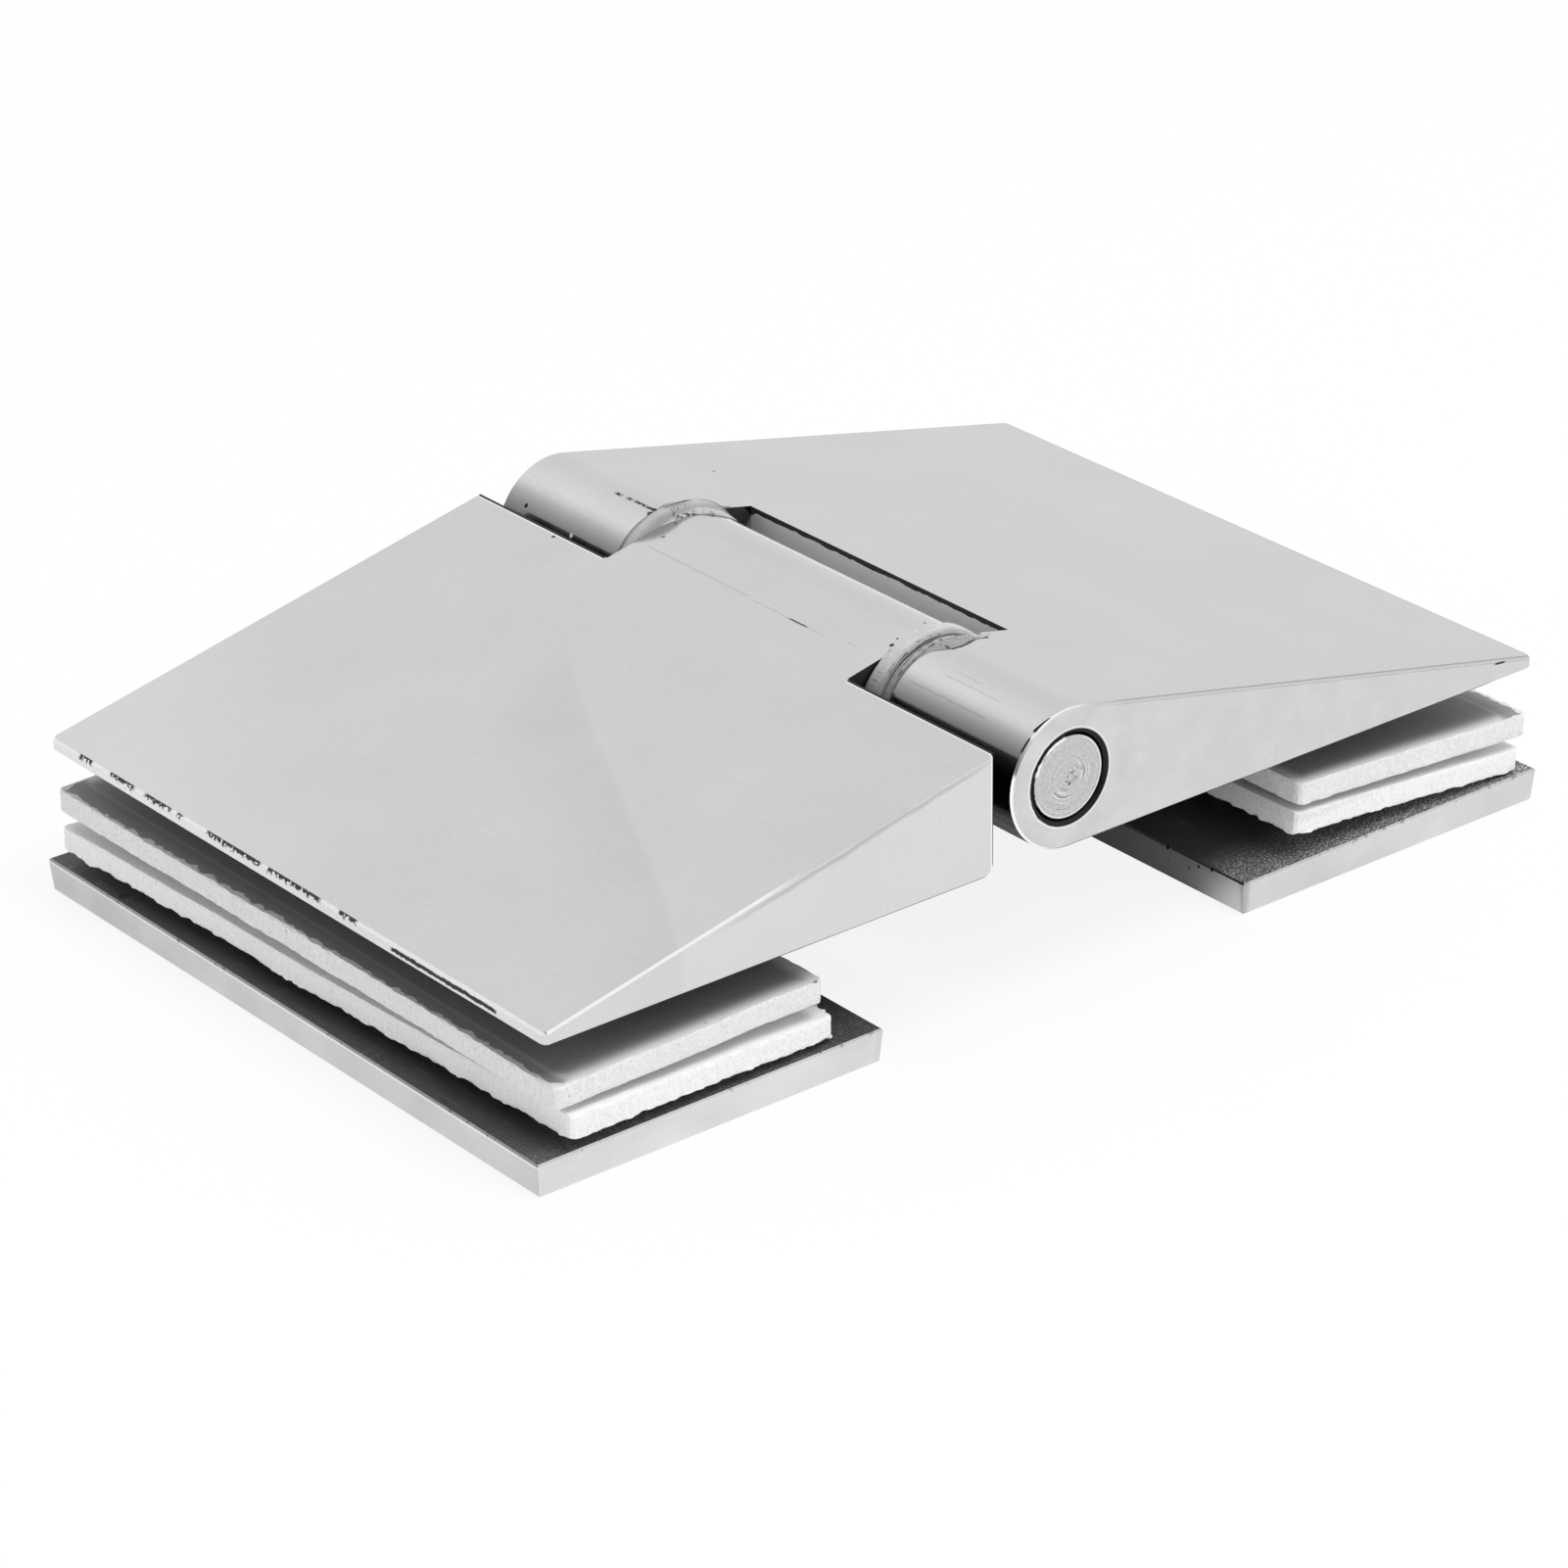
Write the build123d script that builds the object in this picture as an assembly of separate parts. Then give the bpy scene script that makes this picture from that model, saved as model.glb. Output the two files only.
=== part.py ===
from build123d import *
import os
from math import asin, cos, degrees, hypot, radians, sin, tan

# A glass-to-glass shower door hinge, lying open with its polished faces up.
# Two wedge-shaped leaves turn on one pin. Each leaf clamps its sheet of glass against a plate, with a
# gasket on both sides of the glass, and two countersunk screws pull the plate towards the leaf.
# Plastic bushes and washers part the knuckles. There is no glass in it here: the screws are backed off,
# the leaves stand on them, and the gaskets lie loose on the plates.
#
# Frame: X runs across the hinge, Y runs along the pin and Z is up. The origin is on the floor under the
# middle of the pin. The left leaf, on the -X side, carries the centre knuckle, and the right leaf
# carries the two outer ones. Millimetres and degrees.

# Hinge line. The centre knuckle reaches further than the outer ones: the middle of its round nose lies
# past the pin by the nose offset.
pin_height = 25.0
pin_diameter = 10.0
pin_recess = 0.25
pin_chamfer = 0.3
bore_chamfer = 0.3
knuckle_diameter = 16.2
centre_knuckle_length = 42.0
nose_offset = 1.12
press_clearance = 0.01
turning_clearance = 0.04

# Plastic bushes, one from each end of the centre knuckle, and a washer outside each flange
bush_wall = 1.0
bush_sleeve_length = 18.0
bush_flange_thickness = 1.65
bush_flange_stand = 1.3
washer_thickness = 1.3
washer_stand = 0.4
plastic_edge_chamfer = 0.3
end_clearance = 0.05

# Leaves
leaf_height = 90.0
leaf_reach = 69.3
leaf_edge_thickness = 1.5
leaf_corner_radius = 0.8
leaf_edge_break = 0.25
left_wall_clearance = 1.0
left_heel_radius = 1.4
notch_clearance = 1.81
notch_side_gap = 1.3
flange_recess_clearance = 0.3

# Bosses under the leaves, which stand in the glass's cut-out and take the clamp screws
boss_start = 28.0
boss_length = 18.0
boss_width = 40.0
boss_height = 8.0
boss_corner_radius = 6.0
boss_roof = 2.4

# Clamp plates
plate_start = 25.6
plate_length = 45.0
plate_thickness = 4.0
plate_draft = 4.7
plate_edge_break = 0.2

# Countersunk clamp screws, with their heads flush in the plates
screw_diameter = 6.0
screw_tip_clearance = 1.29
screw_head_diameter = 11.3
screw_head_land = 0.3
screw_socket_flats = 4.0
screw_socket_depth = 2.4
screw_point_chamfer = 0.8
screw_pitch = 25.0
screw_hole_clearance = 0.3
countersink_clearance = 0.1
thread_clearance = 0.02

# Gaskets, cut from sheet as a U round the boss
gasket_length = 35.0
gasket_width = 88.8
gasket_thickness = 2.6
gasket_corner_radius = 1.0
gasket_notch_clearance = 0.7

# How each loose gasket lies: how far its inner end is from the pin's plane, how high that end's
# underside is above the plate, and in degrees how much the sheet drops towards its outer end, how much
# it rises towards the back and how far it is turned, seen from above
gasket_lies = {
    "gasket_left_lower": dict(start=33.2, lift=0.7, drop=-1.4, rise=0.0, turn=-2.05),
    "gasket_left_upper": dict(start=33.9, lift=5.8, drop=0.1, rise=0.55, turn=-1.0),
    "gasket_right_lower": dict(start=33.4, lift=3.2, drop=4.9, rise=0.0, turn=0.3),
    "gasket_right_upper": dict(start=34.5, lift=6.3, drop=2.8, rise=0.0, turn=-0.3),
}

# Worked out from the sizes above
knuckle_radius = knuckle_diameter / 2
centre_half = centre_knuckle_length / 2
notch_half = centre_half + notch_side_gap
flange_start = centre_half + end_clearance
washer_start = flange_start + bush_flange_thickness + end_clearance
outer_knuckle_start = washer_start + washer_thickness + end_clearance
plastic_bore_radius = pin_diameter / 2 + turning_clearance
bush_sleeve_radius = plastic_bore_radius + bush_wall
bush_flange_radius = knuckle_radius + bush_flange_stand
washer_radius = knuckle_radius + washer_stand
leaf_half = leaf_height / 2
underside = pin_height - knuckle_radius
edge_top = leaf_edge_thickness - knuckle_radius
edge_distance = hypot(leaf_reach, edge_top)
slope = degrees(asin(knuckle_radius / edge_distance) - asin(edge_top / edge_distance))
nose_radius = knuckle_radius + nose_offset * sin(radians(slope / 2))
nose_reach = nose_offset * cos(radians(slope / 2)) + nose_radius
left_setback = bush_flange_radius + left_wall_clearance
right_setback = nose_reach + notch_clearance
screw_x = boss_start + boss_length / 2
thread_radius = screw_diameter / 2 + thread_clearance


def top_of_leaf(x):
    """Height above the floor of the sloping face, at a distance x from the pin's plane."""
    return pin_height + (knuckle_radius - x * sin(radians(slope))) / cos(radians(slope))


def on_side(shape, side):
    """The shape as it is on the right, or its mirror image on the left."""
    return shape if side == "right" else mirror(shape, about=Plane.YZ)


def along_pin(radius, length, middle=0.0):
    """A cylinder on the pin's axis."""
    return Pos(0, middle, pin_height) * Rot(90, 0, 0) * Cylinder(radius, length)


def wedge(offset=0.0):
    """A leaf's side profile run along the pin: round nose, flat underside, thin edge and sloping face.

    The nose meets the underside and the sloping face smoothly, also where its middle is moved past the
    pin by an offset. It then lies on the line halfway between the two faces, and its radius grows.
    """
    x = -offset * cos(radians(slope / 2))
    z = pin_height + offset * sin(radians(slope / 2))
    radius = z - underside
    low = (x, underside)
    tangent = (x + radius * sin(radians(slope)), z + radius * cos(radians(slope)))
    back = (x - radius, z)
    with BuildSketch(Plane.XZ) as profile:
        with BuildLine():
            Polyline(low, (leaf_reach, underside), (leaf_reach, pin_height + edge_top), tangent)
            ThreePointArc(tangent, back, low)
        make_face()
    return extrude(profile.sketch, amount=leaf_half, both=True)


def plan_prism(sketch):
    """A plan outline run up through the whole height of a leaf."""
    return extrude(sketch, amount=pin_height + 2 * knuckle_radius)


def rounded_corners(sketch):
    """Rounds the two corners of a plan outline at the ends of the thin edge."""
    corners = [v for v in sketch.vertices() if abs(v.X - leaf_reach) < 0.01]
    return fillet(corners, leaf_corner_radius)


def rectangle_from(start, end, half_width):
    """A rectangle in plan from x = start to x = end, half_width to each side of the X axis."""
    return Pos((start + end) / 2, 0) * Rectangle(end - start, 2 * half_width)


def left_plan():
    """The left leaf from above, drawn on the right: a plate with one wide tongue at the pin."""
    plate = rectangle_from(left_setback, leaf_reach, leaf_half)
    tongue = rectangle_from(-nose_reach, left_setback, centre_half)
    return rounded_corners(plate + tongue)


def right_plan():
    """The right leaf from above: a plate with a notch that clears the centre knuckle."""
    plate = rectangle_from(-knuckle_radius, leaf_reach, leaf_half)
    notch = rectangle_from(-knuckle_radius, right_setback, notch_half)
    return rounded_corners(plate - notch)


def boss():
    """The block under a leaf, with round corners, that stands in the glass's cut-out."""
    outline = RectangleRounded(boss_length, boss_width, boss_corner_radius)
    bottom = Pos(screw_x, 0, underside - boss_height)
    return extrude(bottom * outline, amount=boss_height + leaf_edge_thickness)


def screw_places():
    """The two screws of a leaf, as places on the floor."""
    return [Pos(screw_x, y, 0) for y in (-screw_pitch / 2, screw_pitch / 2)]


def hole_roof():
    """Height at which the threaded holes stop, short of the polished face."""
    return top_of_leaf(screw_x + thread_radius) - boss_roof


def threaded_holes():
    """Blind holes up through the boss."""
    bottom = underside - boss_height
    hole = Pos(0, 0, (bottom + hole_roof()) / 2) * Cylinder(thread_radius, hole_roof() - bottom)
    mouth = Cone(thread_radius + bore_chamfer, thread_radius, bore_chamfer)
    hole += Pos(0, 0, bottom + bore_chamfer / 2) * mouth
    return [place * hole for place in screw_places()]


def round_heels(leaf):
    """Rounds the left leaf's lower edges next to the outer knuckles, so that they clear as it folds."""
    low = leaf.edges().filter_by(Axis.Y).filter_by(lambda e: abs(e.center().Z - underside) < 0.01)
    heels = low.filter_by(lambda e: abs(e.center().X - left_setback) < 0.01)
    return fillet(heels, left_heel_radius)


def break_outline(leaf):
    """Breaks the sharp edges round both ends of a leaf and along its thin edge."""
    sides = leaf.faces().filter_by(Axis.Y)
    ends = sides.filter_by(lambda f: abs(abs(f.center().Y) - leaf_half) < 0.01)
    edges = [e for face in ends for e in face.outer_wire().edges()]
    along = leaf.edges().filter_by(Axis.Y)
    thin = along.filter_by(lambda e: abs(e.center().X - leaf_reach) < 0.01)
    return chamfer(edges + list(thin), leaf_edge_break)


def chamfered_bore(body, radius, y):
    """Bores a body along the pin and chamfers the bore's mouths at -y and +y."""
    body -= along_pin(radius, 2 * leaf_height)
    for end in (-1, 1):
        mouth = Cone(radius + bore_chamfer, radius, bore_chamfer)
        body -= Pos(0, end * (y - bore_chamfer / 2), pin_height) * Rot(end * 90, 0, 0) * mouth
    return body


def leaf(side):
    """One leaf with its knuckles, boss and threaded holes."""
    if side == "left":
        body = break_outline(round_heels(wedge(nose_offset) & plan_prism(left_plan()))) + boss()
        body = chamfered_bore(body, bush_sleeve_radius + press_clearance, centre_half)
    else:
        body = break_outline(wedge() & plan_prism(right_plan())) + boss()
        body -= along_pin(bush_flange_radius + flange_recess_clearance, 2 * outer_knuckle_start)
        body = chamfered_bore(body, pin_diameter / 2 + press_clearance, leaf_half)
    for hole in threaded_holes():
        body -= hole
    return on_side(body, side)


def hinge_pin():
    """The plain pin, pressed into the outer knuckles and a little short of their faces."""
    pin = along_pin(pin_diameter / 2, leaf_height - 2 * pin_recess)
    return chamfer(pin.edges().filter_by(GeomType.CIRCLE), pin_chamfer)


def disc(radius, thickness, start, end):
    """A disc round the pin with its rims broken, from y = start outwards, at the end -1 or +1."""
    plain = along_pin(radius, thickness, end * (start + thickness / 2))
    return chamfer(plain.edges().filter_by(GeomType.CIRCLE), plastic_edge_chamfer)


def bush(end):
    """A flanged bush: its sleeve sits in the centre knuckle and its flange lies against the end."""
    flange = disc(bush_flange_radius, bush_flange_thickness, flange_start, end)
    sleeve_length = bush_sleeve_length + end_clearance
    sleeve = along_pin(bush_sleeve_radius, sleeve_length, end * (flange_start - sleeve_length / 2))
    return flange + sleeve - along_pin(plastic_bore_radius, 2 * leaf_height)


def washer(end):
    """The washer between a bush's flange and the outer knuckle."""
    blank = disc(washer_radius, washer_thickness, washer_start, end)
    return blank - along_pin(plastic_bore_radius, 2 * leaf_height)


def countersunk_blank(clearance_head, clearance_shank, length):
    """The outside of a countersunk screw standing on its head, grown by the given clearances."""
    head = screw_head_diameter / 2 + clearance_head
    shank = screw_diameter / 2 + clearance_shank
    with BuildSketch(Plane.XZ) as profile:
        with BuildLine():
            Polyline(
                (0, 0),
                (head, 0),
                (head, screw_head_land),
                (shank, screw_head_land + head - shank),
                (shank, length),
                (0, length),
                close=True,
            )
        make_face()
    return revolve(profile.sketch, Axis.Z)


def clamp_screw():
    """A countersunk screw with a hexagon socket, head down, whose point is just short of its hole's end."""
    screw = countersunk_blank(0, 0, hole_roof() - screw_tip_clearance)
    screw = chamfer(screw.edges().sort_by(Axis.Z)[-1], screw_point_chamfer)
    socket_radius = screw_socket_flats / 2 / cos(radians(30))
    socket = extrude(RegularPolygon(socket_radius, 6), amount=screw_socket_depth)
    point_height = screw_socket_flats / 2 * tan(radians(30))
    drill_point = Cone(screw_socket_flats / 2, 0, point_height)
    return screw - socket - Pos(0, 0, screw_socket_depth + point_height / 2) * drill_point


def clamp_plate(side):
    """The plate behind the glass. Its sides draw in towards the outer face, which lies on the floor."""
    middle = Pos(plate_start + plate_length / 2, 0, plate_thickness)
    outline = middle * Rectangle(plate_length, leaf_height)
    plate = extrude(outline, amount=-plate_thickness, taper=plate_draft)
    faces = plate.faces().filter_by(Axis.Z)
    plate = chamfer([e for face in faces for e in face.edges()], plate_edge_break)
    hole = countersunk_blank(countersink_clearance, screw_hole_clearance, 2 * plate_thickness)
    for place in screw_places():
        plate -= place * hole
    return on_side(plate, side)


def gasket(side, start, lift, drop, rise, turn):
    """A U of sheet that lies as it fell, round the boss and the screws."""
    notch_end = boss_start + boss_length + gasket_notch_clearance
    blank = RectangleRounded(gasket_length, gasket_width, gasket_corner_radius)
    notch = rectangle_from(0, notch_end, boss_width / 2 + gasket_notch_clearance)
    sheet = extrude(Pos(start + gasket_length / 2, 0) * blank - notch, amount=gasket_thickness)
    lie = Pos(start, 0, plate_thickness + lift) * Rot(rise, drop, 0) * Pos(-start, 0, 0)
    turned = Pos(screw_x, 0, 0) * Rot(0, 0, turn) * Pos(-screw_x, 0, 0)
    return on_side(turned * lie * sheet, side)


def save(shape, name):
    """Writes one piece to its own file, as a plain solid."""
    solid = shape.solids()[0] if len(shape.solids()) == 1 else shape
    export_step(solid, f"parts/{name}.step")


os.makedirs("parts", exist_ok=True)

save(hinge_pin(), "hinge_pin")
for end, place in ((-1, "front"), (1, "back")):
    save(bush(end), f"bush_{place}")
    save(washer(end), f"washer_{place}")

for side in ("left", "right"):
    save(leaf(side), f"leaf_{side}")
    save(clamp_plate(side), f"clamp_plate_{side}")
    for place, end in zip(screw_places(), ("front", "back")):
        save(on_side(place * clamp_screw(), side), f"clamp_screw_{side}_{end}")

for name, lie in gasket_lies.items():
    side = "left" if "left" in name else "right"
    save(gasket(side, **lie), name)
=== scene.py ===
import math

import bmesh
import bpy
from mathutils import Matrix, Vector, noise


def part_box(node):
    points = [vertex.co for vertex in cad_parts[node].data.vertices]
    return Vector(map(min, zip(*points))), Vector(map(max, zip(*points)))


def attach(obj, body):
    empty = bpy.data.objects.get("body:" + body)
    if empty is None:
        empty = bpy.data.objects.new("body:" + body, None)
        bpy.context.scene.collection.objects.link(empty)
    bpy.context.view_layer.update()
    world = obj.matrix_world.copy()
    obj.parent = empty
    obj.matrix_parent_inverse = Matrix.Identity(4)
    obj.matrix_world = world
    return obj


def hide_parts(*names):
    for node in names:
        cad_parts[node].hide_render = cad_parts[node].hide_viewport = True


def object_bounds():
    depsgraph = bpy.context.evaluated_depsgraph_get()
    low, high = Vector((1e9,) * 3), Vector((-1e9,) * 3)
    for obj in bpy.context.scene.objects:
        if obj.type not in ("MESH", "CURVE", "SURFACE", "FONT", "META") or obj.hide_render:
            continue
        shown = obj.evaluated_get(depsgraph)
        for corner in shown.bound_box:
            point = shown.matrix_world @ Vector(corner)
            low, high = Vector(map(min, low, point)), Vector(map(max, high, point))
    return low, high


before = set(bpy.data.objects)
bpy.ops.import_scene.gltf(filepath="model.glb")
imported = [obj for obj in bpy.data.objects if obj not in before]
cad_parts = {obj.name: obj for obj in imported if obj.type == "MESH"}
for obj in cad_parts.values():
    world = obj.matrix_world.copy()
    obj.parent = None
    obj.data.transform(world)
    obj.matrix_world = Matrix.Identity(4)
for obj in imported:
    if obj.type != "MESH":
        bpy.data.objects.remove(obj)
cad_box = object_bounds()
MM = 0.001

for name in sorted(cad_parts):
    low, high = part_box(name)
    print(f"{name:24s}", "size in mm:", [round(side / MM, 1) for side in high - low])

# %% [markdown]
# ## The camera
#
# The photograph was taken with a long lens from the front left, a little above the hinge. A long lens keeps
# parallel edges nearly parallel, so the angles matter more than the distance. The camera's turn is put
# together from three simple turns: round the vertical, down from the horizon, and a slight roll.
# %% Camera
scene = bpy.context.scene


def turn(degrees, axis):
    """A turn about one of the axes, as a matrix."""
    return Matrix.Rotation(math.radians(degrees), 4, axis)


def add_camera(place, azimuth, elevation, roll, lens):
    """A camera at a place in mm, which looks down by its elevation."""
    camera = bpy.data.objects.new("camera", bpy.data.cameras.new("camera"))
    scene.collection.objects.link(camera)
    camera.data.lens = lens
    camera.data.clip_start, camera.data.clip_end = 0.01, 100
    aim = turn(azimuth, "Z") @ turn(90 - elevation, "X") @ turn(roll, "Z")
    camera.matrix_world = Matrix.Translation(Vector(place) * MM) @ aim
    return camera


scene.camera = add_camera(
    place=(-375.92, -466.06, 298.80), azimuth=-38.711, elevation=25.937, roll=-0.711, lens=136.97
)
scene.view_settings.view_transform = "Standard"
print("The camera is", round(scene.camera.location.length, 3), "m from the origin")

# %% [markdown]
# ## Shader maths
#
# Every finish below is a small sum: a base tone, plus some cloudiness, plus scratches where a mask says so.
# Wiring such sums by hand takes many nodes. This class wraps one socket, so that `1 - mask * 0.4` adds the
# Math nodes by itself. Any other node comes from the `node` method.
# %% A socket that does sums
class Wire:
    """A node tree, and one socket in it that can be used as a number."""

    def __init__(self, tree, socket=None):
        self.tree, self.socket = tree, socket

    def node(self, kind, settings=(), sockets=(), output=0):
        """Adds a node, sets it, fills its sockets and gives one of its outputs."""
        made = self.tree.nodes.new(kind)
        for name, value in dict(settings).items():
            if name == "stops":
                ramp_stops(made.color_ramp, value)
            else:
                setattr(made, name, value)
        for name, value in dict(sockets).items():
            if isinstance(value, Wire):
                self.tree.links.new(value.socket, made.inputs[name])
            else:
                made.inputs[name].default_value = value
        return Wire(self.tree, made.outputs[output])

    def math(self, operation, *values):
        return self.node("ShaderNodeMath", {"operation": operation}, dict(enumerate(values)))

    def __add__(self, other):
        return self.math("ADD", self, other)

    def __sub__(self, other):
        return self.math("SUBTRACT", self, other)

    def __rsub__(self, other):
        return self.math("SUBTRACT", other, self)

    def __mul__(self, other):
        return self.math("MULTIPLY", self, other)

    def __truediv__(self, other):
        return self.math("DIVIDE", self, other)

    def __pow__(self, other):
        return self.math("POWER", self, other)

    def __abs__(self):
        return self.math("ABSOLUTE", self)

    __radd__, __rmul__ = __add__, __mul__


def ramp_stops(ramp, stops):
    """Sets a colour ramp from pairs of position and tone."""
    for place, tone in stops[len(ramp.elements):]:
        ramp.elements.new(place)
    for element, (place, tone) in zip(ramp.elements, stops):
        element.position, element.color = place, (tone, tone, tone, 1)


# %% [markdown]
# Four helpers turn up in nearly every finish. `rise` goes smoothly from 0 to 1 between two values, in either
# direction, and `band` is 1 between them. `grain` is noise of a size in millimetres, stretched if wanted.
# `show` gives the sums to the shader.
# %% Helpers for finishes
def rise(value, start, end):
    """0 before start and 1 after end, with a smooth change between them."""
    settings = {"interpolation_type": "SMOOTHSTEP"}
    sockets = {"Value": value, "From Min": start, "From Max": end}
    return value.node("ShaderNodeMapRange", settings, sockets)


def band(value, start, end, soft):
    """1 between start and end, with soft sides."""
    return rise(value, start - soft, start + soft) * (1 - rise(value, end - soft, end + soft))


def grain(place, size, detail=2.0, stretch=(1, 1, 1), seed=0.0):
    """Noise from about -0.5 to 0.5, whose lumps are about `size` mm across."""
    moved = place.node(
        "ShaderNodeMapping", (), {"Vector": place, "Location": (seed, seed * 1.7, 0), "Scale": stretch}
    )
    sockets = {"Vector": moved, "Scale": 1 / size, "Detail": detail}
    return place.node("ShaderNodeTexNoise", (), sockets) - 0.5


def start_finish(name, **constants):
    """A new material, its shader, and the place on the piece in millimetres."""
    material = bpy.data.materials.new(name)
    material.use_nodes = True
    tree = material.node_tree
    shader = tree.nodes["Principled BSDF"]
    for socket, value in constants.items():
        shader.inputs[socket.replace("_", " ")].default_value = value
    coordinates = Wire(tree).node("ShaderNodeTexCoord", output="Object")
    place = Wire(tree).node(
        "ShaderNodeVectorMath", {"operation": "SCALE"}, {"Vector": coordinates, "Scale": 1 / MM}
    )
    return material, shader, place


def axes(place):
    """The three numbers of a place."""
    return [place.node("ShaderNodeSeparateXYZ", (), {0: place}, output=axis) for axis in "XYZ"]


def connect(wire, shader, socket):
    wire.tree.links.new(wire.socket, shader.inputs[socket])


def show(shader, tone, roughness, height, depth):
    """Gives a shader its tone from black to white, its roughness, and a bump of a depth in mm."""
    colour = tone.node(
        "ShaderNodeMix", {"data_type": "RGBA"}, {0: tone, 6: (0, 0, 0, 1), 7: (1, 1, 1, 1)}, output=2
    )
    bump = height.node("ShaderNodeBump", (), {"Height": height, "Distance": depth * MM, "Strength": 1.0})
    connect(colour, shader, "Base Color")
    connect(roughness, shader, "Roughness")
    connect(bump, shader, "Normal")


# %% [markdown]
# ## The light
#
# Polished steel has hardly any tone of its own: it shows the room. The hinge was photographed in a white room
# whose left side was dark. The round outer knuckles show this best, because they reflect every direction in
# turn: their tone runs from white at the top to nearly black at the left.
#
# So that run of tones says how bright the room is from left to right. A colour ramp over the direction's x
# holds it, and the world is made from that. The camera sees plain white. Near the horizon the room is dim for
# everything but the metal, which keeps the narrow gaps dark.
# %% The room's brightness from left to right
ROOM = [
    (-1.0, 0.05), (-0.80, 0.08), (-0.66, 0.20), (-0.57, 0.33), (-0.47, 0.47), (-0.36, 0.63),
    (-0.26, 0.85), (-0.12, 0.97), (0.20, 0.90), (0.50, 0.83), (1.0, 0.84),
]


def ray(start, kind):
    """1 for rays of one kind, such as those from the camera."""
    return start.node("ShaderNodeLightPath", output=f"Is {kind} Ray")


def add_room(tones, low_tone):
    """A world whose brightness follows the tones, and is dimmer near the horizon."""
    world = bpy.data.worlds.new("room")
    scene.world = world
    world.use_nodes = True
    background = world.node_tree.nodes["Background"]
    background.inputs["Color"].default_value = (1, 1, 1, 1)
    start = Wire(world.node_tree)
    x, _, z = axes(start.node("ShaderNodeTexCoord", output="Generated"))
    stops = [((place + 1) / 2, tone) for place, tone in tones]
    tone = start.node("ShaderNodeValToRGB", {"stops": stops}, {"Fac": (x + 1) * 0.5})
    low = (1 - rise(z, 0.1, 0.5)) * (1 - ray(start, "Glossy"))
    tone = tone * (1 - low * (1 - low_tone))
    shown = tone + ray(start, "Camera") * (1 - tone)
    start.tree.links.new(shown.socket, background.inputs["Strength"])


add_room(ROOM, low_tone=0.08)

# %% [markdown]
# The table is a white floor. Most of its brightness is a glow that only the camera and reflections see. The
# rest comes from the lamps, so it still shows the hinge's shadow. Under the hinge the metal sees no glow,
# because hardly any light reaches the table there.
# %% The white table
def add_floor(side, glow):
    """A large white floor, which glows for the camera and for reflections."""
    bm = bmesh.new()
    bmesh.ops.create_grid(bm, x_segments=1, y_segments=1, size=side / 2)
    mesh = bpy.data.meshes.new("floor")
    bm.to_mesh(mesh)
    bm.free()
    floor = bpy.data.objects.new("floor", mesh)
    scene.collection.objects.link(floor)
    material = bpy.data.materials.new("white table")
    material.use_nodes = True
    tree = material.node_tree
    tree.nodes.clear()
    start = Wire(tree)
    x, y, _ = axes(start.node("ShaderNodeTexCoord", output="Object"))
    under = (1 - rise(abs(x), 60 * MM, 69 * MM)) * (1 - rise(abs(y), 36 * MM, 45 * MM))
    direct = start.math("MAXIMUM", ray(start, "Camera"), ray(start, "Transmission"))
    seen = start.math("MAXIMUM", direct, ray(start, "Glossy") * (1 - under))
    paint = start.node("ShaderNodeBsdfDiffuse", (), {"Color": (0.9, 0.9, 0.9, 1)})
    light = start.node("ShaderNodeEmission", (), {"Color": (1, 1, 1, 1), "Strength": 1.0})
    surface = start.node("ShaderNodeMixShader", (), {0: seen * glow, 1: paint, 2: light})
    output = tree.nodes.new("ShaderNodeOutputMaterial")
    tree.links.new(surface.socket, output.inputs["Surface"])
    mesh.materials.append(material)


add_floor(side=6, glow=0.88)

# %% [markdown]
# One large lamp, above the hinge and a little in front of it, stands for the studio's soft box. It reaches
# only the front few millimetres of the gaskets under the leaves. A weak low lamp on the left lightens dull
# surfaces that face that way. Both are hidden from reflections, because the metal already shows the room.
# %% The lamps
def add_lamp(name, place, size, watts):
    """A square lamp at a place in metres, which points at the hinge."""
    lamp = bpy.data.objects.new(name, bpy.data.lights.new(name, "AREA"))
    scene.collection.objects.link(lamp)
    lamp.data.size = size
    lamp.data.energy = watts
    lamp.location = place
    lamp.rotation_euler = (-Vector(place)).to_track_quat("-Z", "Y").to_euler()
    lamp.visible_glossy = False


add_lamp("soft box", place=(0.3, -0.6, 1.5), size=0.8, watts=14)
add_lamp("low fill", place=(-1.45, -0.3, 0.4), size=0.8, watts=5)

# %% [markdown]
# ## Polished steel
#
# The leaves are polished nearly to a mirror. What keeps them from looking like chrome is a faint cloudiness,
# a fine grain, long hair scratches and tiny pinholes. The helpers below make the marks: `specks` scatters
# round spots, using the cells of a Voronoi texture, `spot` puts one where it is wanted, and `line` draws a
# wavering line along the pin. `spots` and `lines` draw a whole table of them.
# %% Helpers for marks
def facing(place):
    """The direction that the surface faces at rest, as three numbers."""
    return axes(place.node("ShaderNodeTexCoord", output="Normal"))


def most(*masks):
    """The strongest of several masks at each point."""
    strongest = masks[0]
    for mask in masks[1:]:
        strongest = strongest.math("MAXIMUM", strongest, mask)
    return strongest


def specks(place, spacing, share, radius):
    """Round spots in a few of the cells of a pattern whose cells are `spacing` mm apart."""
    cells = place.node("ShaderNodeTexVoronoi", (), {"Vector": place, "Scale": 1 / spacing}, "Distance")
    lot = axes(Wire(place.tree, cells.socket.node.outputs["Color"]))[0]
    chosen = rise(lot, 1 - share, 1 - share * 0.9)
    return chosen * (1 - rise(cells, 0.6 * radius / spacing, 1.3 * radius / spacing))


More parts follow.
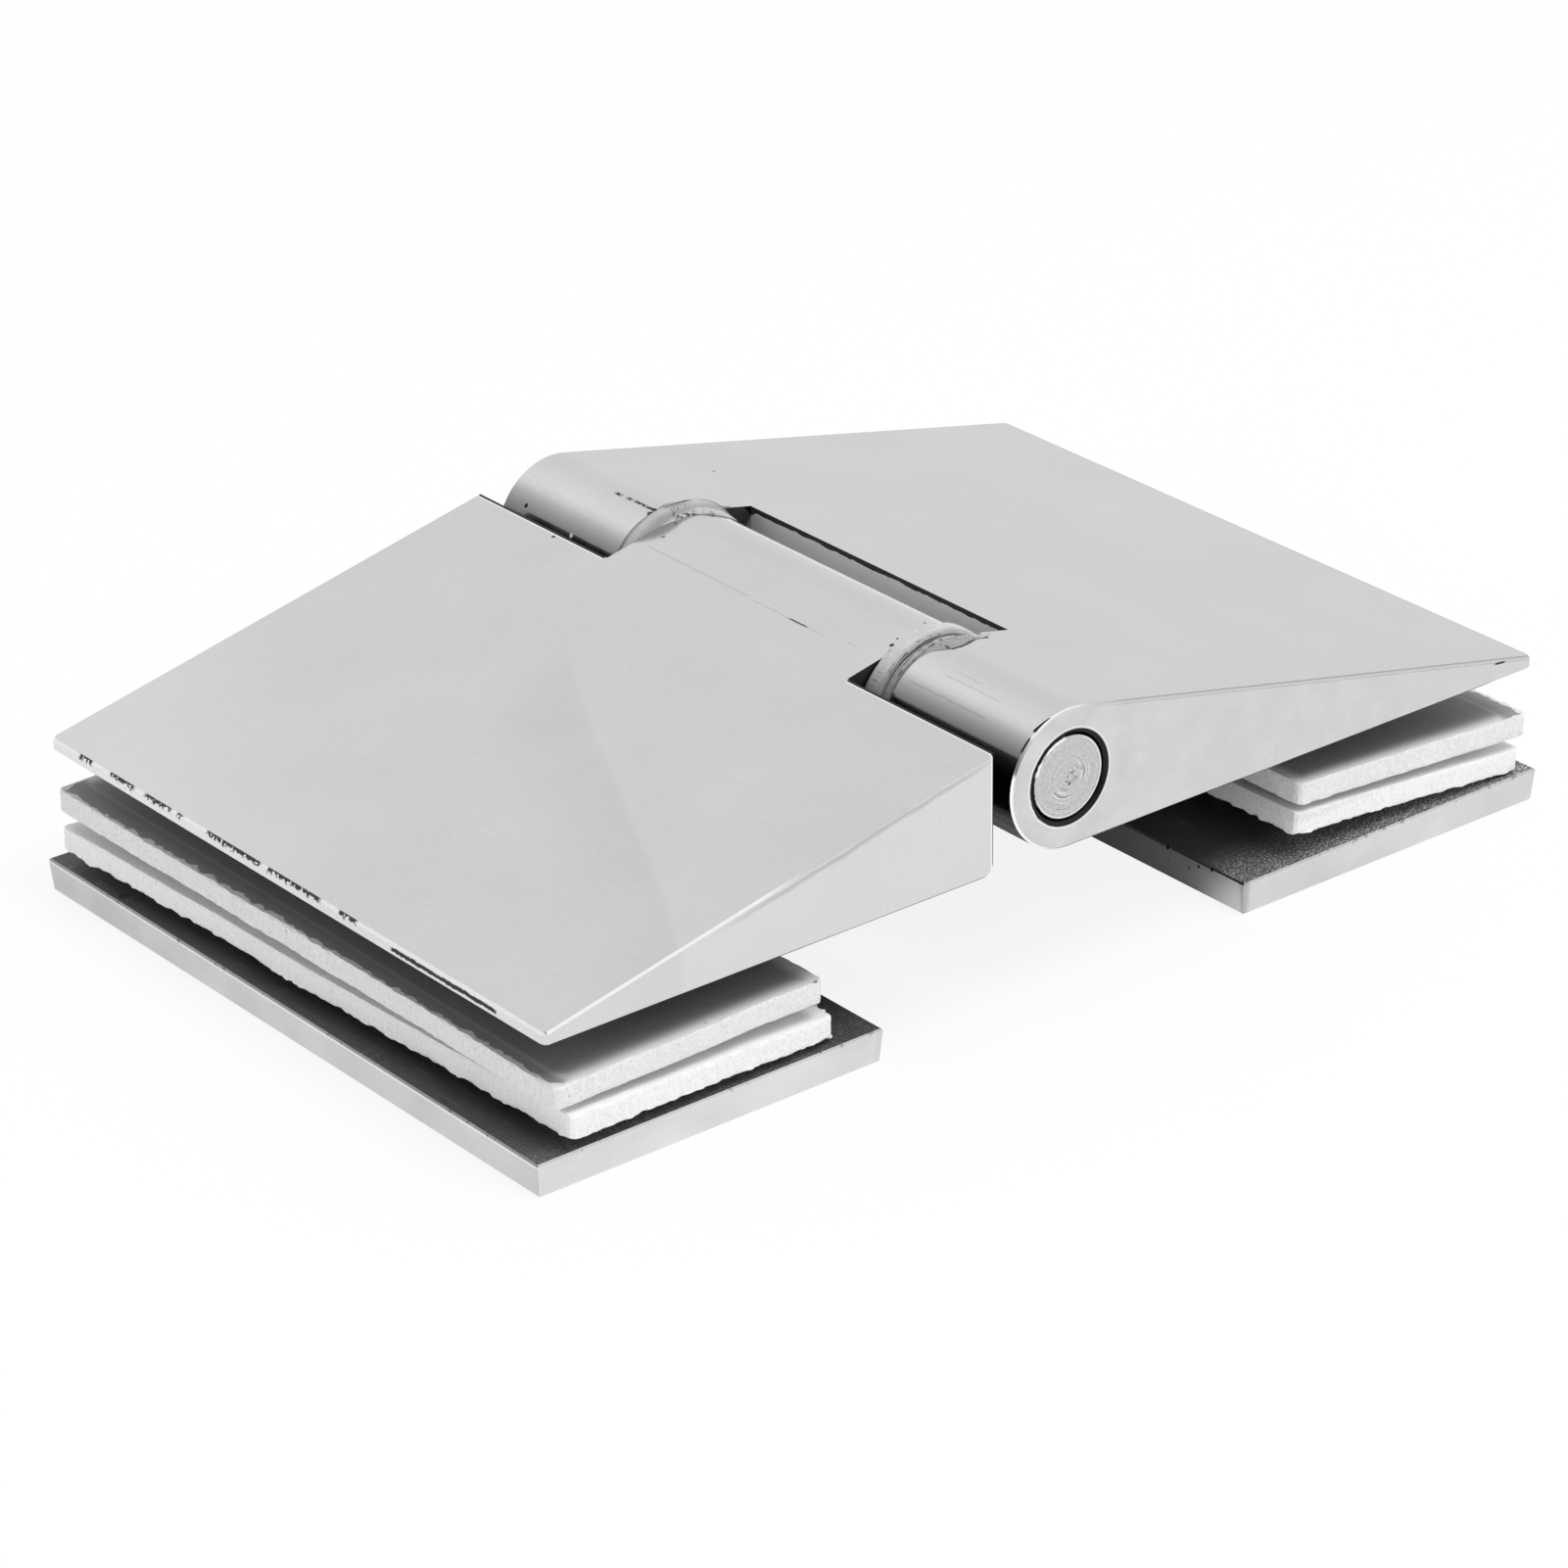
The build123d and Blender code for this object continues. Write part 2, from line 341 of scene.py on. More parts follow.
def spot(place, x, y, radius, z=0):
    """One ragged spot round a point. In a flattened place z is 0."""
    away = place.node("ShaderNodeVectorMath", {"operation": "DISTANCE"}, {0: place, 1: (x, y, z)}, "Value")
    return 1 - rise(away + grain(place, radius) * radius, radius * 0.7, radius * 1.1)


def spots(plan, marks):
    """Several spots, from a list of (x, y, radius, strength)."""
    return most(*(spot(plan, x, y, radius) * strength for x, y, radius, strength in marks))


def line(plan, x, width, start, end, waver=0.3):
    """A thin wavering line along the pin, from y = start to y = end."""
    across, along, _ = axes(plan)
    across = across + grain(plan, 2.5) * waver
    return band(across, x - width / 2, x + width / 2, width / 3) * band(along, start, end, 0.4)


def lines(plan, marks):
    """Several lines, from a list of (x, width, start, end)."""
    return most(*(line(plan, *mark) for mark in marks))


def curve(value, points):
    """A value that follows straight lines through points, from a colour ramp."""
    first, last, top = points[0][0], points[-1][0], max(height for at, height in points)
    stops = [((at - first) / (last - first), height / top) for at, height in points]
    position = (value - first) / (last - first)
    return value.node("ShaderNodeValToRGB", {"stops": stops}, {"Fac": position}) * top


# %% [markdown]
# The two leaves share one ground. Their undersides were only machined, so they are rougher, and painted shade
# darkens them; a mask that reads the surface's own direction finds them. The scratches are noise stretched to
# fifty times its width.
# %% The ground of the polished leaves
def flattened(place):
    """The place with its height left out."""
    return place.node("ShaderNodeVectorMath", {"operation": "MULTIPLY"}, {0: place, 1: (1, 1, 0)})


def polished_ground(place):
    """Tone, roughness and height of polished steel, which is rougher, and darker with painted shade, where it
    faces down.
    """
    clouds = grain(place, 16, detail=3)
    fine = grain(place, 0.45, detail=3)
    hairs = rise(grain(place, 0.3, detail=1, stretch=(0.02, 1, 1)), 0.16, 0.3)
    crossed = rise(grain(place, 0.3, detail=1, stretch=(1, 0.02, 1), seed=5), 0.17, 0.3)
    pinholes = specks(place, 3.5, 0.05, 0.10)
    under = rise(facing(place)[2] * -1, 0.7, 0.9)
    tone = 0.70 + clouds * 0.08 + fine * 0.06 - (hairs + crossed) * 0.025 - pinholes * 0.35
    roughness = 0.15 + clouds * 0.08 + fine * 0.04 + (hairs + crossed) * 0.04 + under * 0.35
    height = grain(place, 2.2, detail=2) * 0.5 - (hairs + crossed) * 0.3 - pinholes
    # Painted shade darkens the undersides.
    return tone * (1 - under * 0.6), roughness, height


def finish_node(node, material):
    """Gives a CAD node one material."""
    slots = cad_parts[node].data.materials
    slots.clear()
    slots.append(material)
    print(node, "is finished in", material.name)


# %% [markdown]
# The left leaf's marks are where the photograph has them, so their places are in tables. A slightly darker
# field with one soft edge crosses the leaf, where something in the room was mirrored. `REFLECTION` has that
# edge's distance from the pin, for places along the leaf.
# %% Marks on the left leaf's face
FAINT_LINES = [(-6.2, 0.25, 1, 19), (-6.4, 0.2, -12, 0), (-5.8, 0.2, -17, -15.5)]
DARK_SPOTS = [
    (-3.35, -19.98, 0.33, 1), (-2.2, -19.5, 0.2, 0.7), (2.0, -19.1, 0.25, 0.6), (-4.0, 19.05, 0.28, 0.6),
    (-11.2, 29.9, 0.25, 1),
]
REFLECTION = [
    (-44.2, 52.0), (-37.0, 47.6), (-26.4, 42.7), (-14.5, 36.9), (-8.0, 34.1), (-1.8, 31.1), (6.7, 26.4),
    (13.6, 22.0),
]


def left_face_marks(place):
    """Dark marks, faint lines and the mirrored field on the left leaf's face."""
    plan = flattened(place)
    x, y, _ = axes(place)
    dark = most(line(plan, -6.42, 0.2, -9.3, -6.4, waver=0.15), spots(plan, DARK_SPOTS))
    beyond = x * -1 - curve(y, REFLECTION)
    mirrored = rise(beyond, -0.6, 0.6) * (1 - rise(beyond, 2, 14)) * (1 - rise(y, 2, 14))
    return dark, lines(plan, FAINT_LINES), mirrored


# %% [markdown]
# The breaks of the front and outer edges carry painted highlights, and black scale is torn along the outer
# edge. A ramp over its length says where the patches of scale are, and noise with a hard limit tears them.
# %% The left leaf's edges
HALF_HEIGHT, INNER_EDGE, OUTER_EDGE = 45.0, 10.7, 69.3
SCALE_TOP = 18.0
SCALE_PATCHES = [
    (39.1, 36.9), (33.2, 28.6), (26.3, 21.5), (20.2, 19.4), (14.4, 4.6), (3.2, -6.2), (-9.7, -12.7),
]


def patches(value, ranges, low, high):
    """1 inside any of the ranges, from a colour ramp that covers the values from low to high."""
    stops = []
    for start, end in sorted(sorted(pair) for pair in ranges):
        places = [(edge - low) / (high - low) for edge in (start - 0.2, start, end, end + 0.2)]
        stops += list(zip(places, (0, 1, 1, 0)))
    position = (value - low) / (high - low)
    return value.node("ShaderNodeValToRGB", {"stops": stops}, {"Fac": position})


def torn_scale(place):
    """Black scale along the thin outer edge."""
    x, y, z = axes(place)
    side = rise(facing(place)[0] * -1, 0.3, 0.4) * rise(x * -1, OUTER_EDGE - 0.7, OUTER_EDGE - 0.4)
    torn = rise(grain(place, 0.4, detail=4) + (z - SCALE_TOP) * 0.45, 0.02, 0.06)
    torn = torn * patches(y, SCALE_PATCHES, -HALF_HEIGHT, HALF_HEIGHT)
    long_line = band(z + grain(place, 0.6, detail=3) * 0.5, SCALE_TOP - 0.5, SCALE_TOP, 0.05)
    return side * most(torn, long_line * band(y, -37, -19, 0.2))


def left_edges(place):
    """Painted highlights on two edge breaks, and by the inner edge a painted shadow, a painted highlight line
    and painted shade on the dull walls.
    """
    x, y, _ = axes(place)
    across, along, up = facing(place)
    # The chamfers of the front and outer edges carry painted highlights.
    slanting = rise(up, 0.4, 0.5) * (1 - rise(up, 0.85, 0.92))
    front = slanting * rise(x * -1 + grain(place, 6) * 8, 34, 44) * (1 - rise(y + HALF_HEIGHT, 0.28, 0.4))
    outer = slanting * rise(x * -1, OUTER_EDGE - 0.35, OUTER_EDGE - 0.3)
    past_edge = x + INNER_EDGE
    beside_knuckle = rise(abs(y), 21.2, 21.3)
    # Along the inner edge by the knuckles: a painted shadow in the gap, and a painted highlight line just
    # past it.
    rim = beside_knuckle * band(past_edge, -0.02, 0.7, 0.04)
    light = beside_knuckle * band(past_edge, -0.2, -0.04, 0.03)
    # The seats and ends are dull walls in the knuckles' gaps, which get painted shade.
    seats = rise(across, 0.8, 0.95) * rise(past_edge, 0, 0.2) * rise(abs(y), 20, 21)
    ends = rise(abs(along), 0.8, 0.95) * (1 - rise(abs(y), 22, 23))
    return front, outer, rim, light, most(seats, ends)


# %% [markdown]
# The finish adds all of this to the ground, with painted shade in a faint band just below the front edge, and
# a little lighter tone towards the outer corner.
# %% The left leaf's finish
LEAF_TOP, SLOPE = 33.3, math.radians(12.12)
FALL = math.tan(SLOPE)


def left_leaf():
    material, shader, place = start_finish("polished steel left")
    tone, roughness, height = polished_ground(place)
    x, y, z = axes(place)
    dark, faint, mirrored = left_face_marks(place)
    front, outer, rim, light, walls = left_edges(place)
    scale = torn_scale(place)
    below = LEAF_TOP + x * FALL - z
    shade_below_edge = (1 - rise(y + HALF_HEIGHT, 0, 0.4)) * band(x * -1, 12, 44, 6)
    shade_below_edge = shade_below_edge * band(below + grain(place, 4) * 0.7, 0.45, 1.0, 0.3)
    # Painted highlights on edge breaks and the inner line; painted shade below the front edge, on the rim and
    # walls.
    tone = tone + front * 0.35 + (outer + light) * 0.3 + rise(y * 0.5 - x, 60, 85) * 0.05
    tone = tone - faint * 0.10 - shade_below_edge * 0.18 - mirrored * 0.036
    tone = tone * (1 - most(most(dark, rim, scale) * 0.95, walls * 0.88))
    connect(1 - outer * 0.8, shader, "Metallic")
    show(shader, tone, roughness + (scale + walls) * 0.3, height - scale * 3, depth=0.004)
    return material


finish_node("leaf_left", left_leaf())

# %% [markdown]
# The right leaf has the notch for the middle knuckle. Its back wall was milled and never polished, so it is
# dull and grey, lighter towards the front. Painted shadow darkens its upper rim and a slanting strip near its
# back corner, and painted shade darkens the notch's ends, less in the back corner, where painted light lies.
# %% The right leaf's notch
PIN_HEIGHT = 25.0
NOTCH_WALL, HALF_NOTCH = 11.15, 22.3


def from_pin(place):
    """The distance from the pin's axis."""
    x, _, z = axes(place)
    return (x * x + (z - PIN_HEIGHT) * (z - PIN_HEIGHT)) ** 0.5


def notch_marks(place):
    """The notch's dull back wall, painted shadow on its rim and near its back corner, and painted shade on
    the notch's ends.
    """
    x, y, z = axes(place)
    across, along, _ = facing(place)
    wall = rise(across * -1, 0.8, 0.95) * band(x, NOTCH_WALL - 0.25, NOTCH_WALL + 0.25, 0.05)
    # Painted shadow: a dark band along the wall's upper rim, and a slanting one near its back corner.
    rim = rise(z + grain(place, 1.5, detail=3) * 0.5, 30.2, 30.3)
    back_rim_shade = rise(z - 29.7 - (HALF_NOTCH - y) * 0.6, -0.1, 0.1) * rise(y, 19, 19.5)
    # Painted light in the back corner, which lifts the painted shade of the notch's ends.
    lit_corner = (1 - rise(z - 29.6 + (NOTCH_WALL - x) * 1.3, -0.1, 0.1)) * rise(y, 0, 1)
    ends = rise(abs(along), 0.8, 0.95) * (1 - rise(abs(y), HALF_NOTCH + 0.3, HALF_NOTCH + 0.7))
    return wall, wall * most(rim, back_rim_shade), ends * (1 - lit_corner * 0.7)


# %% [markdown]
# The back knuckle has a row of torn black marks, where the leaf was struck. The front one has nicks in its
# rim and thin lines along it.
# %% Marks on the outer knuckles
STRUCK_LINES = [(-1.14, 0.5, 30.2, 31.3), (-1.1, 0.5, 28.5, 29.3), (-1.0, 0.45, 24, 28.0)]
BURRS = [(-1.7, 24.3, 0.45, 1), (-0.9, 24.6, 0.4, 1)]
THIN_LINES = [(-3.5, 0.15, -37.8, -28.9), (-5.5, 0.15, -37.7, -25.4), (-2.6, 0.12, -34, -30)]


def knuckle_marks(place):
    """The dark marks on the knuckles, and the thin lines along the front one."""
    plan = flattened(place)
    x, y, z = axes(place)
    from_front = y + HALF_HEIGHT
    torn = rise(grain(place, 0.6, detail=3), -0.12, -0.06)
    struck = torn * most(lines(plan, STRUCK_LINES), spots(plan, BURRS))
    nicks = most(
        band(x, -4.7, -2.6, 0.1) * (1 - rise(from_front + (x + 4.7) * 0.17, 0.6, 0.67)),
        band(x + grain(place, 0.5), -6.6, -5.5, 0.1) * (1 - rise(from_front, 0.4, 0.45)),
    )
    nicks = nicks * rise(from_front, 0.17, 0.22) * rise(z, 29.5, 30)
    single = most(spot(place, -6.6, 41.2, 0.3, z=29.7), spot(plan, 15.66, 34.75, 0.25) * 0.7)
    return most(struck, nicks, single), lines(plan, THIN_LINES)


# %% [markdown]
# Plastic was squeezed out over this leaf, and a thin painted shadow runs along its edge. Its outlines, from
# above, are in a table, which serves again for the plastic's shape.
# %% Lines on the right leaf
LIP_OUTLINES = {
    "front": [
        (-2.5, 24.1), (-0.8, 25.2), (0.3, 25.8), (1.6, 25.7), (3.3, 24.9), (5.0, 24.1), (6.4, 23.8),
        (7.4, 23.3), (8.0, 22.9),
    ],
    "back": [
        (-2.4, 23.9), (-0.5, 24.4), (0.8, 24.9), (2.0, 25.2), (3.4, 25.2), (5.0, 24.6), (6.5, 23.6),
        (8.5, 22.7),
    ],
}


def edge_lines(place):
    """The painted shadow along the plastic, the grey lines along the front edge, a painted white highlight
    line, and a black dash.
    """
    x, y, z = axes(place)
    lips = [(y * -1, LIP_OUTLINES["front"]), (y, LIP_OUTLINES["back"])]
    # A thin painted shadow along the squeezed plastic's edge.
    lip_edge_shadow = most(*(band(out - curve(x, outline), -0.4, 0.1, 0.05) for out, outline in lips))
    from_front = y + HALF_HEIGHT
    below = LEAF_TOP - x * FALL - z
    grey = most(band(below, 0.0, 0.12, 0.06), band(below, 0.38, 0.46, 0.05))
    grey = grey * (1 - rise(from_front, 0.28, 0.4)) * rise(x, 4, 8)
    dash = (1 - rise(from_front, 0.05, 0.2)) * band(x, 63.3, 64.8, 0.3)
    dash = dash * band(z + (x - 64) * 0.1, 18.95, 19.2, 0.06)
    # The band along the front edge is a painted white highlight line.
    return lip_edge_shadow * band(x, -1.5, 5.2, 0.3), grey, band(from_front, 0.08, 0.2, 0.03), dash


# %% [markdown]
# Round the pin a black ring fills the chamfer, with a painted highlight ring just outside it, and the front
# end is cloudier there. Painted shade darkens the knuckles' left side by the gap, except for one painted
# highlight, a bright dot. That dot and the milled wall mirror nothing, so they are not metallic. The front
# chamfers carry a painted highlight with a white line in it.
# %% The right leaf's finish
def right_leaf():
    material, shader, place = start_finish("polished steel right")
    tone, roughness, height = polished_ground(place)
    x, y, _ = axes(place)
    along = facing(place)[1]
    radius = from_pin(place)
    wall, rim, notch_end_shade = notch_marks(place)
    ragged = radius + grain(place, 0.8, detail=3) * 0.25 * (1 - rise(x, -4, 0))
    # The black ring in the chamfer round the pin.
    dirt = (1 - rise(ragged, 5.47, 5.55)) * rise(abs(y), HALF_HEIGHT - 0.6, HALF_HEIGHT - 0.5)
    # A painted highlight ring just outside the black ring.
    bore_rim_highlight = band(ragged, 5.62, 5.72, 0.04) * (1 - rise(y + HALF_HEIGHT, 0.05, 0.1))
    marks, thin = knuckle_marks(place)
    lip_edge_shadow, grey, white, dash = edge_lines(place)
    dark = most(marks, rim, dirt)
    # A painted highlight dot, and painted shade on the knuckles' left side by the gap.
    highlight_dot = spot(place, -7.0, 32.2, 0.3, z=29.1)
    gap_shade = rise(x * -1 + grain(place, 4) * 0.9, 6.95, 7.3) * (1 - highlight_dot)
    gap_shade = gap_shade * (1 - rise(abs(along), 0.2, 0.4))
    # A painted highlight on the front chamfers.
    slanting = rise(along * -1, 0.4, 0.5) * (1 - rise(along * -1, 0.85, 0.92)) * (1 - rise(x, 0, 4))
    front = rise(along * -1, 0.8, 0.95)
    clouded = front * grain(place, 3.5, detail=4) * (0.10 + 0.15 * (1 - rise(radius, 7, 12)))
    tone = tone + highlight_dot * 0.5 + bore_rim_highlight * 0.25 + slanting * (0.15 + white * 0.25) + clouded
    tone = tone - lip_edge_shadow * 0.35 - thin * 0.12 - grey * 0.22 - front * 0.05
    tone = tone + wall * (0.29 - rise(y, 5, 22) * 0.14)
    # Marks, the black ring and the notch's painted shadow, with painted shade by the gap and in the notch's
    # ends.
    tone = tone * (1 - most(most(dark, dash) * 0.96, gap_shade * 0.6, notch_end_shade * 0.8))
    connect(1 - most(wall, highlight_dot), shader, "Metallic")
    show(shader, tone, roughness + (wall + dark) * 0.3, height - dark * 2, depth=0.004)
    return material


finish_node("leaf_right", right_leaf())

# %% [markdown]
# ## The pin
#
# The pin's ends were faced on a lathe, so its finish depends mostly on the distance from its axis: noise over
# the radius gives rings of uneven strength. Larger noise breaks the rings into arcs, and the tool left a lump
# with dark dots in the middle. The chamfer is black, with two painted highlights in it.
# %% Turned steel
PIN_FRONT, PIN_CHAMFER = -44.75, 4.7
ARC_PLACES = [(2.2, 25.6, 2.0), (-0.6, 23.0, 1.9)]
TOOL_DOTS = [(1.9, 25.4, 0.17), (0.7, 25.4, 0.16), (1.15, 24.55, 0.15), (0.25, 24.1, 0.17)]


def end_spots(place, marks):
    """Spots on the pin's front end, from a list of (x, z, radius)."""
    return most(*(spot(place, x, PIN_FRONT, radius, z=z) for x, z, radius in marks))


def turned_steel():
    material, shader, place = start_finish("turned steel")
    x, _, z = axes(place)
    radius = from_pin(place)
    fine = grain(place, 0.35, detail=3)
    arcs = rise(grain(place, 1.3, detail=2), -0.05, 0.12) * (0.25 + end_spots(place, ARC_PLACES) * 0.75)
    rings = grain(radius.node("ShaderNodeCombineXYZ", (), {0: radius + fine * 0.1}), 0.22, detail=3)
    lump = ((x - 0.35) * (x - 0.35) * 1.6 + (z - 24.75) * (z - 24.75)) ** 0.5
    centre = band(lump + grain(place, 0.7, detail=3) * 0.6, 0.45, 0.75, 0.1)
    # Two painted highlights in the black chamfer.
    chamfer_highlights = most(band(x, -2.9, -0.4, 0.25) * rise(z, 26, 27), band(z, 26.3, 27.6, 0.2) * rise(x * -1, 1, 2))
    chamfer_highlights = chamfer_highlights * band(radius + fine * 0.25, PIN_CHAMFER - 0.34, PIN_CHAMFER + 0.04, 0.04)
    ragged = grain(place, 0.8, detail=3) * 0.3 * (1 - rise(x, -4, 0))
    dirt = rise(radius + ragged, PIN_CHAMFER - 0.04, PIN_CHAMFER + 0.02)
    edge = band(radius, PIN_CHAMFER - 0.2, PIN_CHAMFER - 0.08, 0.04) * (1 - rise(z - x, 25, 29))
    tone = 0.57 + rings * (arcs * 2.2 + 0.35) + fine * 0.35 + edge * 0.3
    tone = tone - centre * 0.16 - end_spots(place, TOOL_DOTS) * 0.3
    tone = tone * (1 - dirt * 0.96) * (1 - chamfer_highlights) + chamfer_highlights
    connect(1 - chamfer_highlights, shader, "Metallic")
    show(shader, tone, 0.30 + fine * 0.15 + rings * 0.1, rings, depth=0.01)
    return material


finish_node("hinge_pin", turned_steel())


# %% [markdown]
# ## The clamp plates and their screws
#
# The plates' upper faces are as rolled: dark grey, scratched, and worn to bright speckles towards the front
# edge, with two dark stains on the left one. Their sides were ground, so they are light, with a few smudges,
# nicks and pits. Painted shade darkens their inner ends and front faces, most on the right plate. The left
# plate is less worn than the right one, and its outer side is darker, more so towards the back, with a
# painted highlight line near the top and painted shade along the bottom.
# %% Plate steel
STAINS = [(-69.3, 31.8, 0.7, 1), (-66.5, 29.0, 0.35, 0.5)]


def plate_steel(name, worn):
    """Plate finish. `worn` is how strong the bright speckles along the front edge are."""
    material, shader, place = start_finish(name)
    x, y, z = axes(place)
    across, along, up = facing(place)
    fine = grain(place, 0.35, detail=4)
    clouds = grain(place, 10, detail=3)
    scratches = most(
        rise(grain(place, 0.25, detail=1, stretch=(1, 0.03, 1)), 0.12, 0.25),
        rise(grain(place, 0.25, detail=1, stretch=(0.03, 1, 1), seed=7), 0.15, 0.28),
    )
    sparkle = rise(grain(place, 0.22, detail=1), -0.02, 0.22)
    front = rise(y * -1 + clouds * 8, 35, 44.5) * worn
    top_tone = 0.075 + clouds * 0.03 + fine * 0.06 + scratches * 0.06 + front * (0.04 + sparkle * 0.7)
    top_tone = top_tone * (1 - spots(flattened(place), STAINS) * 0.7)
    streaks = grain(place, 4, detail=3, stretch=(0.4, 0.4, 1.5))
    deep = band(x, 25, 26.5, 0.2) * band(y, -41, -29, 2) * rise(z, 1.8, 2.8) * specks(place, 0.9, 0.4, 0.25)
    pits = most(specks(place, 4, 0.06, 0.16), deep)
    # A painted highlight line near the top of the outer side, and painted shade along its bottom.
    outer_highlight_and_shade = band(z, 3.5, 3.66, 0.08) * 0.3 - (1 - rise(z, 0.1, 0.2)) * 0.3
    outer = rise(across * -1, 0.5, 0.9) * (1 - worn) * (outer_highlight_and_shade - 0.13 - rise(y, -45, 40) * 0.1)
    nicks = rise(grain(place, 1.1, detail=4), 0.1, 0.2) * rise(z, 3.4, 3.9)
    # Painted shade on the inner end faces, and a little on the front faces.
    end_and_front_shade = (1 - rise(abs(x), 26, 27)) * 0.2 + rise(y * -1, 44, 44.5) * 0.12
    side_tone = 0.72 + worn * 0.04 + rise(along * -1, 0.5, 0.9) * 0.05 + outer - end_and_front_shade * worn
    side_tone = side_tone + clouds * 0.22 + streaks * 0.12 + fine * 0.04 - pits * 0.7 - nicks * 0.3
    top = rise(up, 0.85, 0.95)
    tone = side_tone * (1 - top) + top_tone * top
    connect(1 - top * 0.7, shader, "Metallic")
    show(shader, tone, 0.26 + top * 0.2 + fine * 0.06, fine * 0.2 - scratches - pits, depth=0.008)
    return material


# %% [markdown]
# The screws are plain turned steel with some dirt. All four share one finish, and each plate has its own.
# %% Finish the plates and screws
def screw_steel():
    material, shader, place = start_finish("screw steel", Metallic=1.0)
    fine = grain(place, 0.4, detail=3)
    turned = grain(place, 0.5, detail=2, stretch=(0.1, 0.1, 1))
    dirt = rise(grain(place, 2.5, detail=3), 0.08, 0.2)
    tone = 0.6 + fine * 0.12 + turned * 0.1 - dirt * 0.15
    show(shader, tone, 0.3 + fine * 0.1 + dirt * 0.2, turned, depth=0.01)
    return material


finish_node("clamp_plate_left", plate_steel("plate steel left", worn=0.25))
finish_node("clamp_plate_right", plate_steel("plate steel right", worn=1.0))
screw_finish = screw_steel()
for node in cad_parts:
    if node.startswith("clamp_screw"):
        finish_node(node, screw_finish)


# %% [markdown]
# ## The gaskets
#
# Each gasket is cut from white sheet as a U, which fits round the block under the leaf. It was cut by hand:
# its faces are smooth, but its cut edges are rough. Painted shade greys the upper faces under the leaves, but
# not their torn white rims. The mesh holds each point's distance from its rim, in an attribute called `rim`.
# %% White gasket sheet
DIRT_DOTS = [(-55.1, -42.1, 0.2, 0.9), (-48.2, -43.9, 0.22, 0.9), (-34.1, -44.5, 0.4, 0.9)]


def gasket_white():
    material, shader, place = start_finish("white gasket sheet")
    x, _, z = axes(place)
    up = facing(place)[2]
    from_rim = place.node("ShaderNodeAttribute", {"attribute_name": "rim"}, output="Fac")
    fine = grain(place, 0.3, detail=4)
    clouds = grain(place, 6, detail=3)
    fibres = grain(place, 0.3, detail=2, stretch=(1, 1, 0.15))
    wall = 1 - rise(abs(up), 0.5, 0.8)
    grey = specks(place, 1.3, 0.10, 0.13)
    # Painted shade under the leaves, mostly on the upper gaskets, which stops short of the rims.
    near_outer_end = rise(from_rim + grain(place, 1.6, detail=5) * 2, 0.45, 0.6) * rise(abs(x), 65, 67)
    elsewhere = rise(from_rim, 0.1, 2.5) * (1 - rise(abs(x), 66, 67))
    shade_under_leaf = most(near_outer_end, elsewhere) * rise(up, 0.5, 0.8) * (0.1 + 0.9 * rise(z, 10.2, 11))
    upper_left = rise(z, 11.9, 12.2) * rise(x * -1, 10, 20)
    dots = most(specks(place, 6, 0.18, 0.16) * 0.8, spots(flattened(place), DIRT_DOTS) * upper_left)
    tone = 0.85 + clouds * 0.06 + fine * 0.10 + wall * (fibres * 0.12 + fine * 0.35 - grey * 0.35)
    tone = (tone + (1 - rise(z, 8, 9)) * 0.10) * (1 - most(dots, shade_under_leaf * 0.62))
    show(shader, tone, 0.55 + fine * 0.2 + wall * 0.15, fine + (fibres - grey) * wall, depth=0.05)
    return material


gasket_finish = gasket_white()

# %% [markdown]
# The shape starts as a flat grid, so that it has points all over. It is made on the hinge's right-hand side,
# in millimetres. `bisect_plane` cuts it along the notch's three sides, and the faces inside are deleted.
# %% The flat outline of a gasket
LENGTH, WIDTH, THICKNESS = 35.0, 88.8, 2.6
NOTCH_END, NOTCH_HALF = 46.7, 20.7


def flat_gasket(start, cell=1.45):
    """A U-shaped grid that starts `start` mm from the pin's plane."""
    bm = bmesh.new()
    cells = round(LENGTH / cell), round(WIDTH / cell)
    bmesh.ops.create_grid(bm, x_segments=cells[0], y_segments=cells[1], size=0.5)
    bmesh.ops.scale(bm, vec=(LENGTH, WIDTH, 1), verts=bm.verts)
    bmesh.ops.translate(bm, vec=(start + LENGTH / 2, 0, 0), verts=bm.verts)
    cuts = [((NOTCH_END, 0, 0), (1, 0, 0)), ((0, NOTCH_HALF, 0), (0, 1, 0)), ((0, -NOTCH_HALF, 0), (0, 1, 0))]
    for point, across in cuts:
        everything = [*bm.verts, *bm.edges, *bm.faces]
        bmesh.ops.bisect_plane(bm, geom=everything, plane_co=point, plane_no=across, dist=1e-4)
    middles = [(face, face.calc_center_median()) for face in bm.faces]
    inside = [face for face, middle in middles if middle.x < NOTCH_END and abs(middle.y) < NOTCH_HALF]
    bmesh.ops.delete(bm, geom=inside, context="FACES")
    return bm


